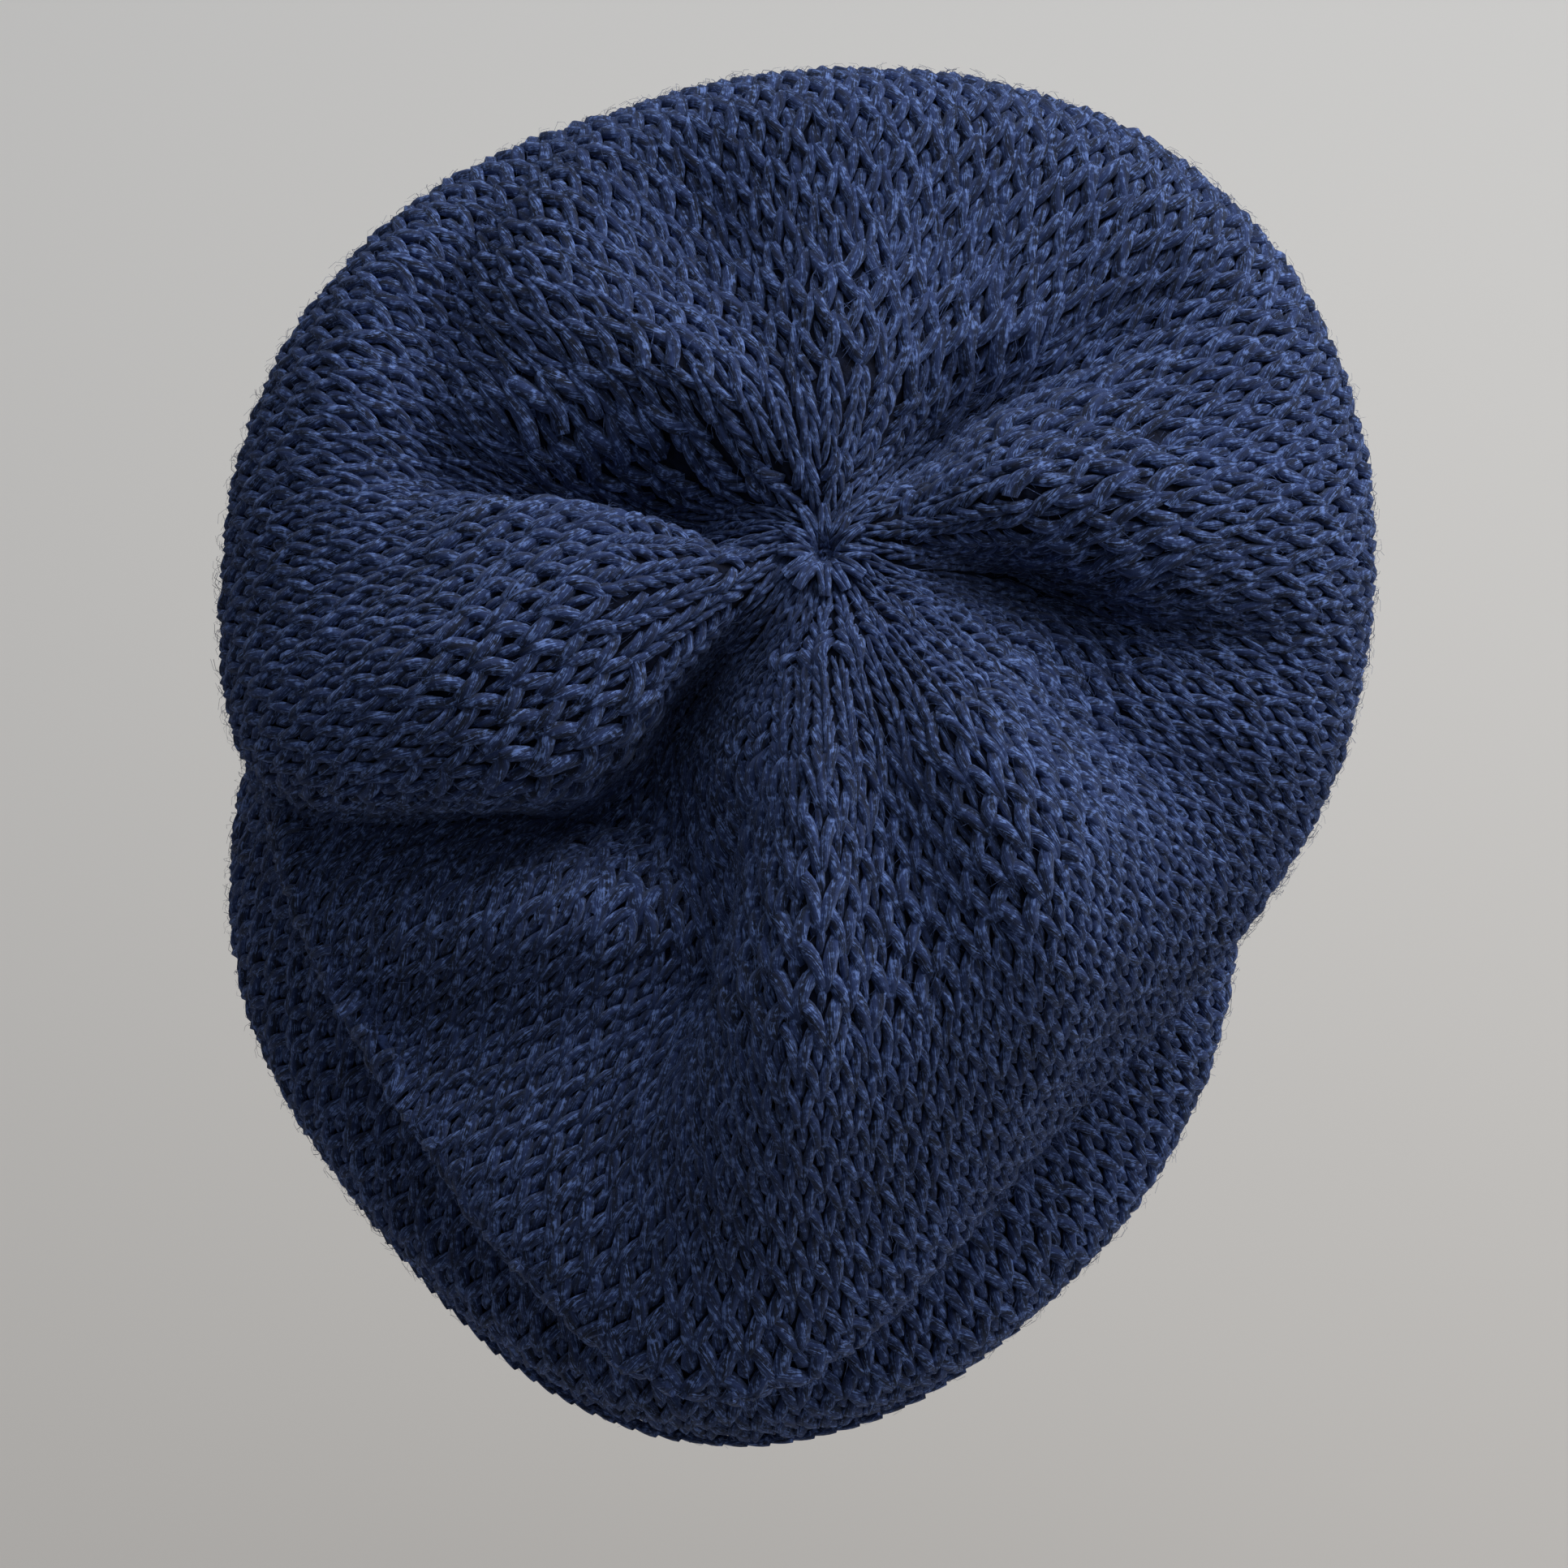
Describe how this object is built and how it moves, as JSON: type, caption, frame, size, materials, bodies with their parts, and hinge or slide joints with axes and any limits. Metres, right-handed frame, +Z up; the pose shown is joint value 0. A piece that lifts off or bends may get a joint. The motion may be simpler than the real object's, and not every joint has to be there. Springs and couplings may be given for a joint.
{
  "type": "slouchy beanie",
  "caption": "Slouchy chunky-knit beanie as worn: a close band round the head opening, and a slack bag that slouches back over it, its folds running in to a gathered crown.",
  "frame": {"origin": "middle of the head opening, where the rim lies round the head", "axes": "+Z up as worn, -Y towards the forehead, +Y towards the nape, -X to the wearer's right"},
  "size_m": [0.2099, 0.2154, 0.2115],
  "materials": {
    "navy_yarn": "matt, fuzzy chunky yarn in a raised tuck stitch, with plain stitches round the crown"
  },
  "bodies": {
    "root": {"knit_body": "navy_yarn", "gather_yarn": "navy_yarn"}
  },
  "joints": []
}
